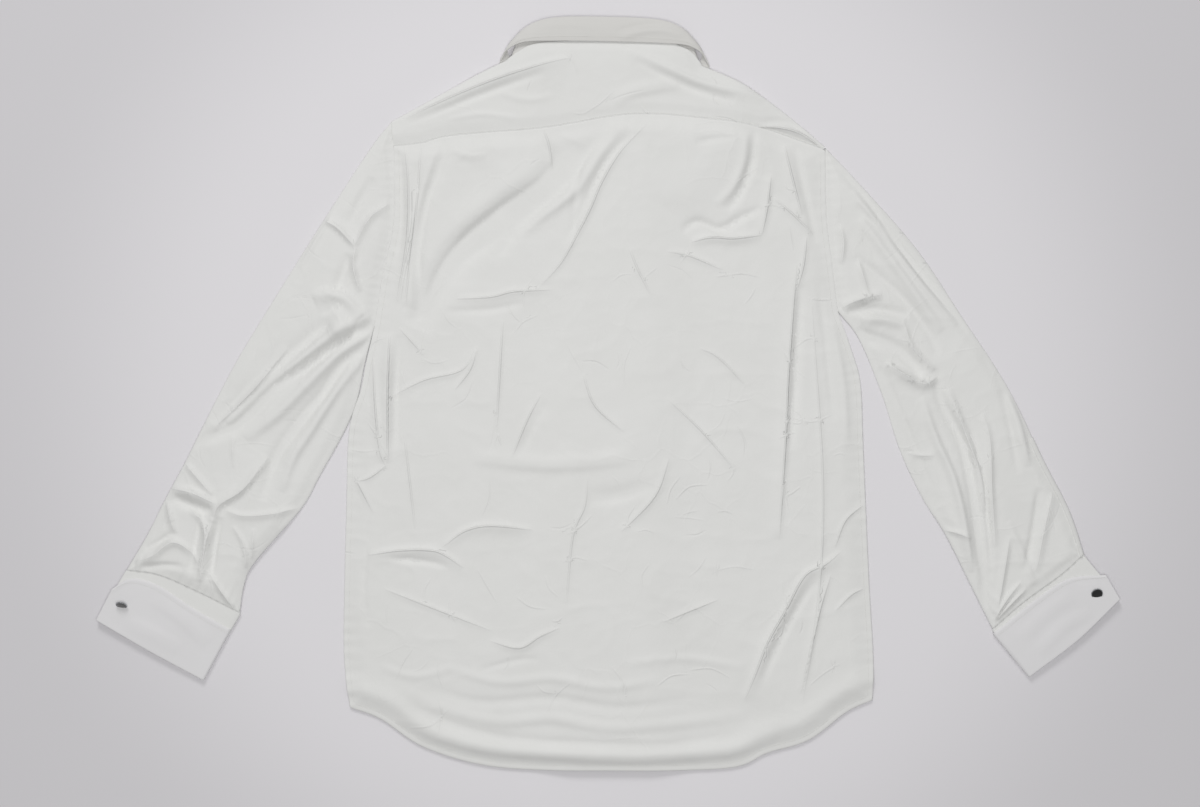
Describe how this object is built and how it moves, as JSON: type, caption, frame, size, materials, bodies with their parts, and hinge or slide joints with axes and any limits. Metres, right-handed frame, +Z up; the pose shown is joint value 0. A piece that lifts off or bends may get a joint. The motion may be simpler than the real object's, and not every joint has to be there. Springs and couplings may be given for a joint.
{
  "type": "long sleeve dress shirt",
  "caption": "White long sleeve dress shirt with a turned-down collar, back yoke, curved tail and linked double cuffs, buttoned and laid flat on its front.",
  "frame": {"origin": "bottom centre of the shirt's bounding box, on the surface it lies on", "axes": "+X towards the wearer's right arm, +Y from hem to collar, +Z up out of the surface, towards the back of the shirt"},
  "size_m": [1.1244, 0.8278, 0.015],
  "materials": {
    "shirting": "matt plain-weave cotton",
    "interlined_shirting": "matt cotton, fused and pressed",
    "shirt_button": "polished",
    "link_metal": "polished",
    "link_enamel": "glossy enamel"
  },
  "bodies": {
    "root": {"back_panel": "shirting", "yoke": "shirting", "front_left": "shirting", "front_right": "shirting", "sleeve_left": "shirting", "sleeve_right": "shirting", "sleeve_placket_left": "shirting", "sleeve_placket_right": "shirting", "front_placket": "interlined_shirting", "collar_leaf": "interlined_shirting", "collar_stand": "interlined_shirting", "cuff_left": "interlined_shirting", "cuff_right": "interlined_shirting", "collar_button": "shirt_button", "front_button_1": "shirt_button", "front_button_2": "shirt_button", "front_button_3": "shirt_button", "front_button_4": "shirt_button", "front_button_5": "shirt_button", "front_button_6": "shirt_button", "cufflink_left_body": "link_metal", "cufflink_left_face": "link_enamel", "cufflink_right_body": "link_metal", "cufflink_right_face": "link_enamel"}
  },
  "joints": []
}
